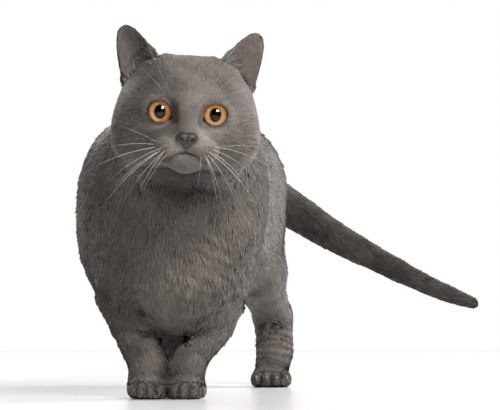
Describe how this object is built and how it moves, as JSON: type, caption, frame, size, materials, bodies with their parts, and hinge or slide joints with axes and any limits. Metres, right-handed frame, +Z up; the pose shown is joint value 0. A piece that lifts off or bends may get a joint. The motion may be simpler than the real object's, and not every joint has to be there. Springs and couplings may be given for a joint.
{
  "type": "shorthair cat, still model",
  "caption": "Life-size still model of a stocky blue shorthair cat, standing and facing forward, with copper eyes, whiskers and its tail held out to its left.",
  "frame": {"origin": "on the floor under the middle of the bounding box", "axes": "+Z up, the cat faces -Y, +X is the cat's left, the side that its tail is held out to"},
  "size_m": [0.3936, 0.5724, 0.314],
  "materials": {
    "blue_coat": "matte, dense short fur",
    "tail_coat": "matte, dense short fur",
    "nose_leather": "moist, finely pebbled",
    "copper_eye": "wet gloss",
    "claw_horn": "polished horn"
  },
  "bodies": {
    "root": {"head": "blue_coat", "muzzle": "blue_coat", "jaw": "blue_coat", "nose": "nose_leather", "eye_left": "copper_eye", "eye_right": "copper_eye", "ear_left": "blue_coat", "ear_right": "blue_coat", "neck": "blue_coat", "chest": "blue_coat", "belly": "blue_coat", "rump": "blue_coat", "tail_root": "tail_coat", "tail_middle": "tail_coat", "tail_tip": "tail_coat", "foreleg_left": "blue_coat", "foreleg_right": "blue_coat", "forepaw_left": "blue_coat", "forepaw_right": "blue_coat", "thigh_left": "blue_coat", "thigh_right": "blue_coat", "shank_left": "blue_coat", "shank_right": "blue_coat", "hindfoot_left": "blue_coat", "hindfoot_right": "blue_coat", "hindpaw_left": "blue_coat", "hindpaw_right": "blue_coat", "claw_left_1": "claw_horn", "claw_left_2": "claw_horn", "claw_left_3": "claw_horn", "claw_left_4": "claw_horn", "claw_right_1": "claw_horn", "claw_right_2": "claw_horn", "claw_right_3": "claw_horn", "claw_right_4": "claw_horn"}
  },
  "joints": []
}
